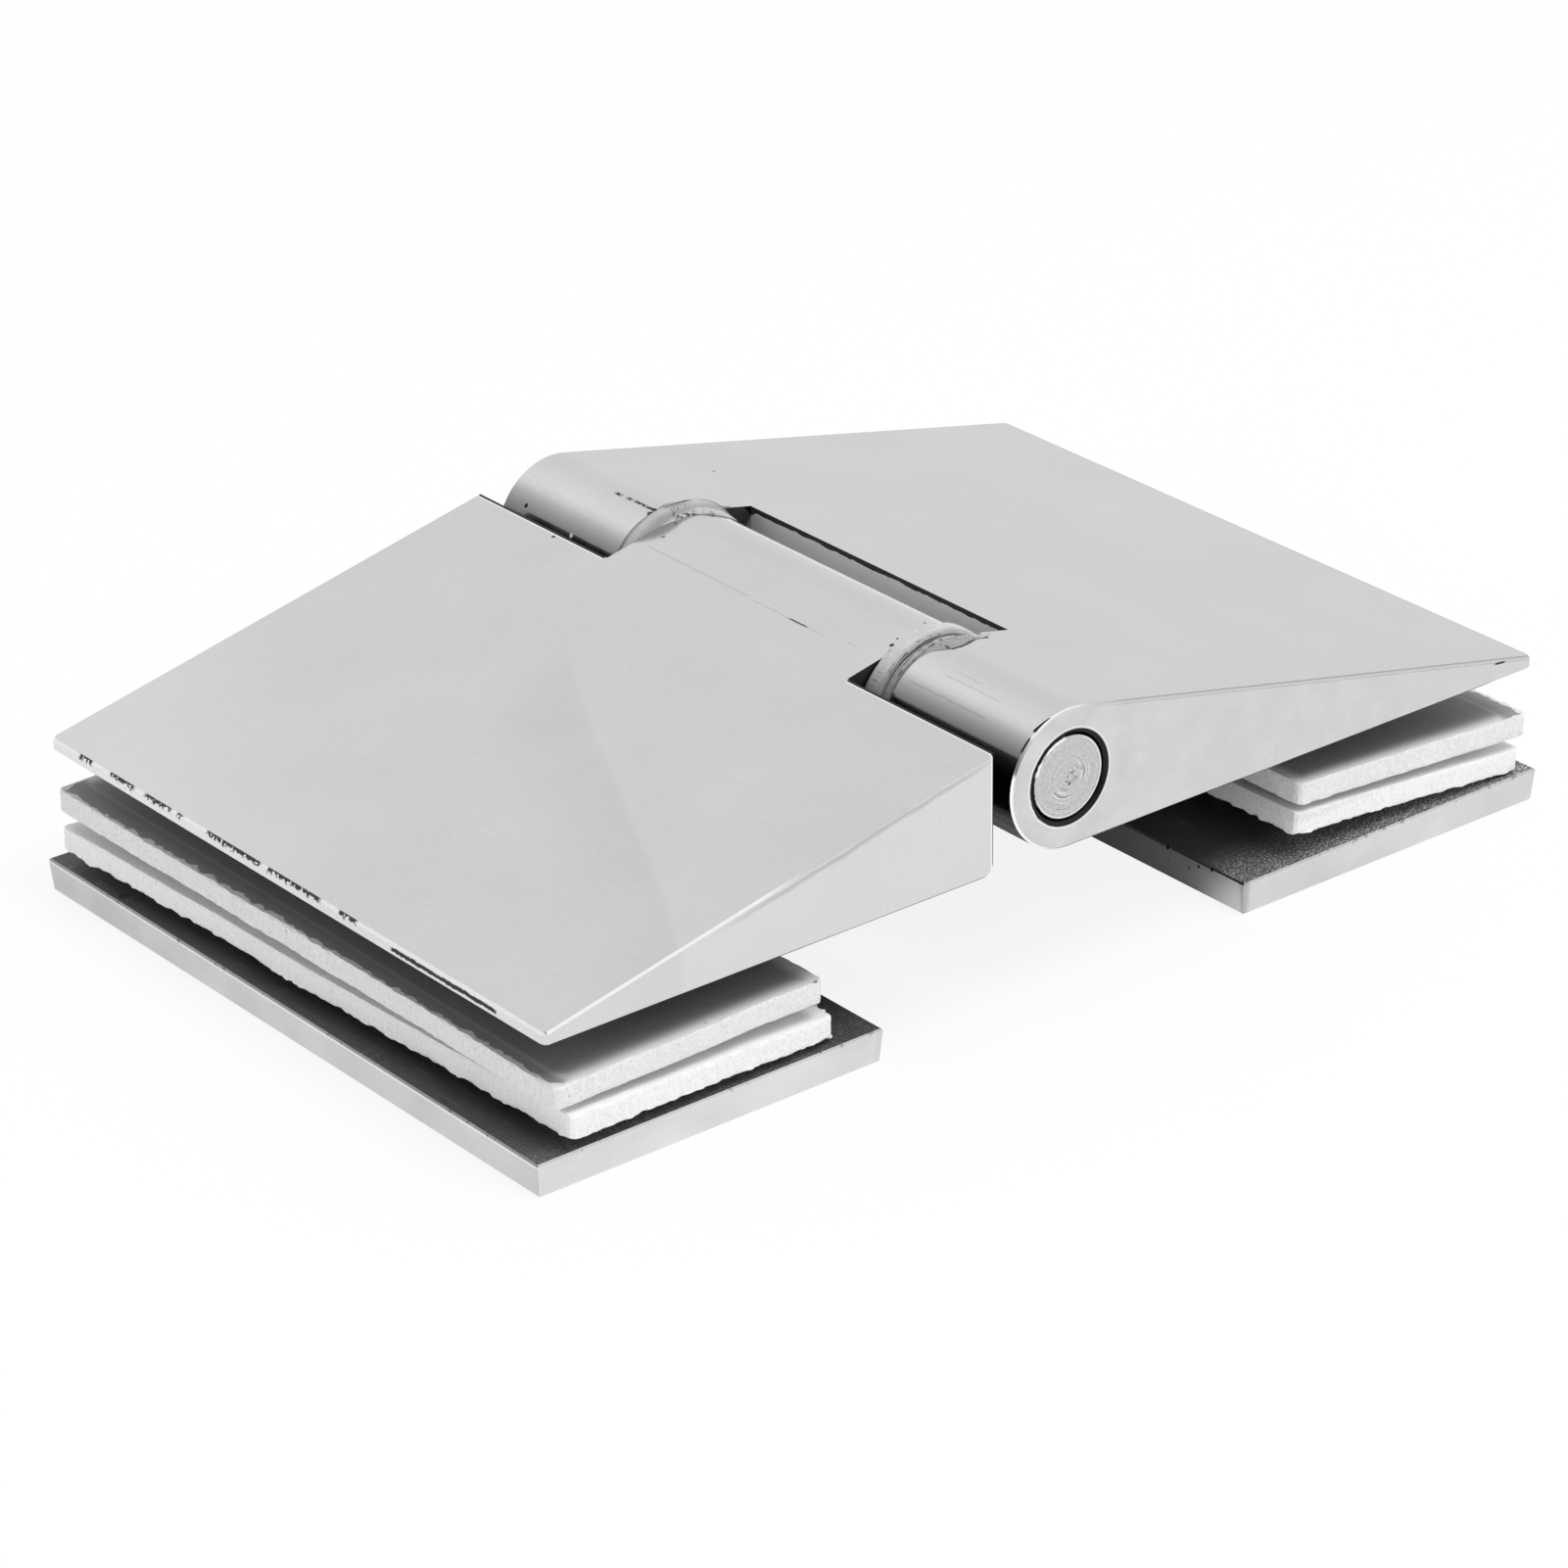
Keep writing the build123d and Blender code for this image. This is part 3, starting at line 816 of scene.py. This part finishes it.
# %% [markdown]
# The outer corners are rounded by bevelling them as points. Then every edge on the outline is divided, down
# to a quarter of a millimetre, and the outline is inset, so that a torn rim stays a narrow strip. After that
# the sheet is extruded, and the upright edges are divided too. The `rim` attribute is filled before that.
# %% Its thickness and its fine walls
def thicken(bm, corner_radius):
    """Rounds the sheet's corners, divides its outline and gives it walls with many small faces."""
    ends = min(v.co.x for v in bm.verts), max(v.co.x for v in bm.verts)
    corners = [
        v for v in bm.verts
        if abs(abs(v.co.y) - WIDTH / 2) < 1e-3 and min(abs(v.co.x - end) for end in ends) < 1e-3
    ]
    bmesh.ops.bevel(
        bm, geom=corners, affect="VERTICES", offset=corner_radius, segments=3, profile=0.5, material=-1
    )
    outline = [edge for edge in bm.edges if edge.is_boundary and edge.calc_length() > 0.6]
    bmesh.ops.subdivide_edges(bm, edges=outline, cuts=5)
    bmesh.ops.inset_region(
        bm, faces=bm.faces[:], use_boundary=True, use_even_offset=True, thickness=0.4, depth=0
    )
    rim = bm.verts.layers.float.new("rim")
    for vert in bm.verts:
        x, y = vert.co.x, abs(vert.co.y)
        inwards = min(x - ends[0], ends[1] - x, WIDTH / 2 - y)
        notch = max(x - NOTCH_END, y - NOTCH_HALF)
        vert[rim] = max(0, min(inwards, notch))
    flat = bm.faces[:]
    made = bmesh.ops.extrude_face_region(bm, geom=flat)["geom"]
    raised = [item for item in made if isinstance(item, bmesh.types.BMVert)]
    bmesh.ops.translate(bm, vec=(0, 0, THICKNESS), verts=raised)
    upright = [
        edge for edge in bm.edges
        if (edge.verts[0].co - edge.verts[1].co).xy.length < 1e-5 and edge.calc_length() > 1
    ]
    bmesh.ops.subdivide_edges(bm, edges=upright, cuts=9)
    bmesh.ops.recalc_face_normals(bm, faces=bm.faces)


# %% [markdown]
# The walls' points move along the direction that the wall faces, by noise at three sizes: slow waves from the
# knife, small lumps, and sharp burrs only along the two rims. The knife left some rims clean and tore others,
# so a table says how torn each one is. The whole sheet is also bent slightly.
# %% Roughening the walls
CLEAN = 0.2
TORN = {
    "gasket_left_lower": {"inner top": 1.4, "inner bottom": 1.4, "outer bottom": 0.7, "long bottom": 0.55},
    "gasket_left_upper": {"outer top": 0.4, "long top": 0.3},
    "gasket_right_lower": {"inner bottom": 0.9, "long bottom": 0.5},
    "gasket_right_upper": {"outer top": 0.5},
}


def rim_name(spot_on_rim, start):
    """Which rim a point is on, before the sheet is laid down."""
    level = "top" if spot_on_rim.z > THICKNESS / 2 else "bottom"
    if spot_on_rim.x > start + LENGTH - 1:
        return "outer " + level
    return ("inner " if spot_on_rim.x < start + 1 else "long ") + level


def roughen(bm, seed, start, torn):
    """Moves the points of the walls in and out, and bends the sheet a little."""
    shift = Vector((seed * 13.1, seed * 7.7, seed * 3.3))
    bm.normal_update()
    moves = {}
    for vert in bm.verts:
        walls = [face.normal for face in vert.link_faces if abs(face.normal.z) < 0.5]
        if not walls:
            continue
        out = sum(walls, Vector()).normalized()
        at = vert.co + shift
        waves = noise.noise(at / 9) * 0.16
        lumps = noise.noise(at / 0.8) * 0.06 + noise.noise(at / 0.3) * 0.06
        on_rim = len(walls) < len(vert.link_faces)
        tear = torn.get(rim_name(vert.co, start), CLEAN) if on_rim else 0
        burr = (noise.noise(at / 1.4 + Vector((9, 0, 0))) + max(0, noise.noise(at / 0.6) - 0.2)) * 0.5 * tear
        sink = noise.noise(at / 0.9 + Vector((0, 5, 0))) * 0.25 * tear
        moves[vert] = out * (waves + lumps + burr - (0.08 if on_rim else 0)) + Vector((0, 0, sink))
    for vert, move in moves.items():
        vert.co += move
    for vert in bm.verts:
        at = Vector((vert.co.x, vert.co.y, 0)) / 30 + shift
        vert.co.z += noise.noise(at) * 0.25


# %% [markdown]
# The loose gaskets fell where they lie, so each has its own place: how far its inner end is from the pin's
# plane, how high it is above the plate, how much it drops outwards, rises towards the back, and is turned.
# These numbers are the CAD model's. The left ones are mirrored, and a mirrored mesh is inside out until its
# normals are made again.
# %% The four gaskets
PLATE_TOP, SCREW_X = 4.0, 37.0
LIES = {
    "gasket_left_lower": (33.2, 0.7, -1.4, 0.0, -2.05),
    "gasket_left_upper": (33.9, 5.8, 0.1, 0.55, -1.0),
    "gasket_right_lower": (33.4, 3.2, 4.9, 0.0, 0.3),
    "gasket_right_upper": (34.5, 6.3, 2.8, 0.0, -0.3),
}


def turned_at(x, rotation):
    """A rotation about a point x mm from the pin's plane."""
    return Matrix.Translation((x, 0, 0)) @ rotation @ Matrix.Translation((-x, 0, 0))


def lay(bm, start, lift, drop, rise_back, turned, left):
    """Moves a gasket from its flat place to where it lies."""
    tilt = turned_at(start, turn(rise_back, "X") @ turn(drop, "Y"))
    lie = Matrix.Translation((0, 0, PLATE_TOP + lift)) @ tilt
    bmesh.ops.transform(bm, matrix=turned_at(SCREW_X, turn(turned, "Z")) @ lie, verts=bm.verts)
    if left:
        bmesh.ops.scale(bm, vec=(-1, 1, 1), verts=bm.verts)
        bmesh.ops.recalc_face_normals(bm, faces=bm.faces)


def hold_inside(bm):
    """Moves points that stand out past the CAD model's box back to its sides."""
    for vert in bm.verts:
        vert.co = [min(max(v * MM, low), high) / MM for v, low, high in zip(vert.co, *cad_box)]


def make_piece(bm, name, material, flat_above=40):
    """Turns a bmesh in mm into an object, smooth except over edges sharper than an angle."""
    bmesh.ops.scale(bm, vec=(MM, MM, MM), verts=bm.verts)
    for face in bm.faces:
        face.smooth = True
    for edge in bm.edges:
        edge.smooth = edge.is_manifold and edge.calc_face_angle() < math.radians(flat_above)
    mesh = bpy.data.meshes.new(name)
    bm.to_mesh(mesh)
    bm.free()
    mesh.materials.append(material)
    piece = bpy.data.objects.new(name, mesh)
    scene.collection.objects.link(piece)
    return piece


BODIES = {"left": "panel_side", "right": "door_side"}
for seed, (node, (start, *lie)) in enumerate(LIES.items(), 1):
    side = node.split("_")[1]
    bm = flat_gasket(start)
    thicken(bm, corner_radius=0.8)
    open_edges = sum(not edge.is_manifold for edge in bm.edges)
    roughen(bm, seed, start, TORN[node])
    lay(bm, start, *lie, left=side == "left")
    hold_inside(bm)
    piece = make_piece(bm, f"cut_{node}", gasket_finish, flat_above=25)
    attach(piece, BODIES[side])
    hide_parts(node)
    print(piece.name, len(piece.data.polygons), "faces,", open_edges, "open edges")

# %% [markdown]
# ## The plastic rings
#
# A flanged bush sits in each end of the middle knuckle, and a washer lies between it and the outer knuckle.
# Painted shade darkens their seam, and dirt is rubbed into the washers in thin rings. Black crumbs lie at the
# rings' ends and along the plastic's chewed edge over the left leaf, whose outline is in a table.
# %% Dirt on the plastic
FRONT_SEAM, BACK_SEAM = 23.3, 22.7
TONGUE_OUTLINE = [
    (-2.8, 20.9), (-1.8, 20.7), (-0.8, 20.5), (0.1, 20.3), (0.8, 20.2), (1.6, 19.8), (2.3, 19.5), (3.5, 18.7),
    (4.7, 18.3), (6.2, 18.6), (7.6, 19.4), (8.6, 20.6),
]
FLECKS = [(6.2, -21.5, 0.16, 0.7), (0.3, -23.8, 0.16, 0.7), (2.6, -23.5, 0.14, 0.7)]


def seam_marks(place, radius):
    """Painted shade along the seams between bush and washer, and the rings of dirt on the washers."""
    x, y, z = axes(place)
    waver = grain(place, 1.5) * 0.15
    # Painted shade in the seams, fading towards the top.
    front_seam_shade = band(y * -1 + waver, FRONT_SEAM - 0.04, FRONT_SEAM + 0.12, 0.05) * 1.4
    back_seam_shade = band(y + waver, BACK_SEAM - 0.04, BACK_SEAM + 0.10, 0.05)
    seam_shade = most(front_seam_shade, back_seam_shade) * (1 - rise(radius, 8.65, 8.8)) * (1 - rise(x, 4, 7))
    round_it = place.node("ShaderNodeCombineXYZ", (), {0: (abs(y) + radius) * 6, 1: x * 0.5, 2: z * 0.5})
    drawn = rise(grain(round_it, 1.0, detail=2), 0.03, 0.12)
    rubbed = most(rise(y * -1 - FRONT_SEAM, -0.4, -0.1), rise(y - BACK_SEAM, -0.4, -0.1)) * drawn
    return seam_shade, rubbed * (1 - rise(abs(y), 23.95, 24.1)) * (1 - rise(x, -1, 2))


def crumbs(place):
    """Black crumbs at the rings' ends and on the squeezed plastic, and single flecks."""
    x, y, z = axes(place)
    ends = most(rise(abs(y), 23.6, 23.9), 1 - rise(abs(y), 21.5, 21.8)) * (1 - rise(y, 0, 1))
    burrs = rise(grain(place, 0.5, detail=3), 0.08, 0.14) * rise(grain(place, 2.0, seed=8), 0.0, 0.1)
    burrs = burrs * ends * rise(z, 29, 31)
    from_edge = y - curve(x, TONGUE_OUTLINE)
    chewed = band(from_edge, -0.1, 0.6, 0.15) * most(band(x, -1.0, 1.5, 0.3), band(x, 2.2, 3.4, 0.2) * 0.6)
    scribbled = rise(y, 23.4, 23.6) * band(x, -2.7, -0.4, 0.2)
    torn = rise(grain(place, 0.4, detail=3), 0.0, 0.06) * most(chewed, scribbled) * rise(z, 31, 32)
    return most(burrs, torn, spots(flattened(place), FLECKS))


# %% [markdown]
# The plastic lets a little light in, which is its subsurface weight. Painted shade darkens it near the pin,
# low down, in its seams, along the lips' lower rims and in a thin line on the back bush.
# %% Off-white plastic
def off_white_plastic():
    material, shader, place = start_finish("off-white plastic", Subsurface_Weight=0.1)
    shader.inputs["Subsurface Radius"].default_value = (0.6 * MM, 0.6 * MM, 0.6 * MM)
    x, y, z = axes(place)
    radius = from_pin(place)
    fine = grain(place, 0.5, detail=3)
    clouds = grain(place, 2.5, detail=3)
    seam_shade, rubbed = seam_marks(place, radius)
    black = crumbs(place)
    # Painted shade along the lips' lower rims, on a thin line of the back bush, near the pin and low down.
    lip_rim_shade = rise(abs(y), 24.15, 24.3) * (1 - rise(facing(place)[2], 0.25, 0.6))
    back_rim_shade = band(y + x * 0.1, 21.85, 22.3, 0.06) * rise(radius, 8.9, 9.1) * rise(x, -4, -2)
    near_pin_shade = 1 - rise(radius, 7.8, 8.2)
    low_shade = 1 - rise(z, 28.5, 33.8)
    tone = 0.60 + fine * 0.10 + clouds * 0.20
    tone = tone * (1 - rise(abs(y), 22.7, 23.3) * (1 - rise(x, 2, 9)) * 0.25)
    tone = tone * (1 - rise(abs(y), 23.6, 24.2) * 0.35) * (1 - rise(y, 0, 1) * 0.2)
    # Real dirt and crumbs, with the painted shade of the seams, lip rims and back bush.
    dirt = most(seam_shade * 0.5, rubbed * 0.65, black * 0.9, lip_rim_shade * 0.8, back_rim_shade * 0.7)
    tone = tone * (1 - most(dirt, near_pin_shade * 0.4, low_shade * 0.45))
    show(shader, tone, 0.25 + (fine + clouds) * 0.2, clouds - rubbed - black, depth=0.05)
    return material


plastic_finish = off_white_plastic()

# %% [markdown]
# The rings are turned shapes, so each starts as a half cross-section, which is spun round the pin. The full
# spin merges its last step with its first. The rims are then bevelled round, and the soft plastic is swollen
# in one place and dented slightly, because it has been squeezed between the knuckles.
# %% Spinning a ring round the pin
BORE, SLEEVE, FLANGE, WASHER = 5.04, 6.04, 9.36, 8.5
RING_START, RING_END = 21.05, 24.05


def spun_ring(section, rounded, rim_radius, steps=120):
    """Spins a closed half section, a list of (along the pin, radius), and rounds some of its outer rims."""
    bm = bmesh.new()
    ring = [bm.verts.new((0, along, PIN_HEIGHT + radius)) for along, radius in section]
    edges = [bm.edges.new((ring[i - 1], ring[i])) for i in range(len(ring))]
    bmesh.ops.spin(
        bm, geom=ring + edges, cent=(0, 0, PIN_HEIGHT), axis=(0, 1, 0), angle=math.tau, steps=steps,
        use_merge=True,
    )
    bmesh.ops.remove_doubles(bm, verts=bm.verts, dist=1e-4)
    bmesh.ops.recalc_face_normals(bm, faces=bm.faces)
    outer = max(radius for along, radius in section)
    rims = [
        edge for edge in bm.edges
        if all(abs(math.hypot(v.co.x, v.co.z - PIN_HEIGHT) - outer) < 1e-3 for v in edge.verts)
        and all(min(abs(abs(v.co.y) - along) for along in rounded) < 1e-3 for v in edge.verts)
    ]
    bmesh.ops.bevel(bm, geom=rims, affect="EDGES", offset=rim_radius, segments=4, profile=0.5, material=-1)
    return bm


def swell(bm, at, reach, depth):
    """Pushes the rim of a ring outwards round one place along the pin."""
    for vert in bm.verts:
        out = Vector((vert.co.x, 0, vert.co.z - PIN_HEIGHT))
        if out.length > FLANGE - 0.7:
            share = max(0, 1 - ((vert.co.y - at) / reach) ** 2)
            vert.co += out.normalized() * depth * share


def dent(bm, inside, depth):
    """Makes the plastic outside a radius slightly uneven."""
    for vert in bm.verts:
        out = Vector((vert.co.x, 0, vert.co.z - PIN_HEIGHT))
        if out.length > inside:
            at = vert.co / 4
            vert.co += out.normalized() * (noise.noise(at) * depth)
            vert.co.y += noise.noise(at + Vector((3, 1, 4))) * depth * 0.6


# %% [markdown]
# The washers were squeezed out over the right leaf, where they end in a flat lip, and the back bush over the
# left leaf's tongue. A sphere is squashed to a pebble for each, and each of its points then slides to its
# place. Along the pin it moves between the ring and the lip's outline, and in height it is dropped onto the
# leaf.
# %% The squeezed lips
KNUCKLE = 8.1
NOSE_X, NOSE_HEIGHT, NOSE = 1.11, 25.12, 8.22


def between(outline, x):
    """The outline's y at x, on a straight line between its points."""
    for (x0, y0), (x1, y1) in zip(outline, outline[1:]):
        if x <= x1:
            return y0 + (y1 - y0) * max(0, x - x0) / (x1 - x0)
    return outline[-1][1]


def leaf_surface(x):
    """Height of the right leaf's upper surface at x."""
    if x < KNUCKLE * math.sin(SLOPE):
        return PIN_HEIGHT + math.sqrt(KNUCKLE**2 - x**2)
    return PIN_HEIGHT + (KNUCKLE - x * math.sin(SLOPE)) / math.cos(SLOPE)


def tongue_surface(x):
    """Height of the left leaf's tongue and its round nose at x."""
    if x < NOSE_X - NOSE * math.sin(SLOPE):
        return NOSE_HEIGHT + (NOSE + (x - NOSE_X) * math.sin(SLOPE)) / math.cos(SLOPE)
    return NOSE_HEIGHT + math.sqrt(NOSE**2 - (x - NOSE_X) ** 2)


def add_lip(bm, outline, start, surface, end):
    """Adds a thin pebble that lies on a leaf's surface between a ring and an outline."""
    made = bmesh.ops.create_uvsphere(bm, u_segments=96, v_segments=16, radius=1)["verts"]
    first, last = outline[0][0], outline[-1][0]
    for vert in made:
        x = first + (vert.co.x + 1) / 2 * (last - first)
        half = math.sqrt(max(1 - vert.co.x**2, 1e-6))
        share = (max(-1, min(1, vert.co.y / half)) + 1) / 2
        y = start + share * (between(outline, x) - start)
        ripple = noise.noise(Vector((x, y, 0))) * 0.06
        vert.co = (x, end * y, surface(x) + 0.04 + ripple + vert.co.z * 0.38 * half)
    bmesh.ops.recalc_face_normals(bm, faces=list({face for vert in made for face in vert.link_faces}))


# %% [markdown]
# The bushes belong to the left leaf and turn with it, and the washers with the right leaf. The seam between
# the two lies a little further out in front than at the back.
# %% The bushes and washers
for place, end, seam in (("front", -1, FRONT_SEAM), ("back", 1, BACK_SEAM)):
    bush = [(3, BORE), (3, SLEEVE), (RING_START, SLEEVE), (RING_START, FLANGE), (seam, FLANGE), (seam, BORE)]
    washer = [(seam + 0.05, BORE), (seam + 0.05, WASHER), (RING_END, WASHER), (RING_END, BORE)]
    for kind, section, rounded, rim, body in (
        ("bush", bush, (RING_START, seam), 0.6, "panel_side"),
        ("washer", washer, (RING_END,), 0.45, "door_side"),
    ):
        bm = spun_ring([(end * along, radius) for along, radius in section], rounded, rim)
        if kind == "washer":
            add_lip(bm, LIP_OUTLINES[place], seam - 0.2, leaf_surface, end)
        elif place == "back":
            swell(bm, at=21.6, reach=0.8, depth=0.4)
            add_lip(bm, TONGUE_OUTLINE, 21.9, tongue_surface, end)
        dent(bm, SLEEVE + 1, 0.12)
        hold_inside(bm)
        piece = make_piece(bm, f"spun_{kind}_{place}", plastic_finish)
        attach(piece, body)
        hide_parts(f"{kind}_{place}")
        print(piece.name, len(piece.data.polygons), "faces")

# %% [markdown]
# ## Sizes
#
# The finished scene keeps the size of the CAD model, whose size is printed here.
# %% Print the CAD model's size
print("CAD size", [round(v, 4) for v in cad_box[1] - cad_box[0]])
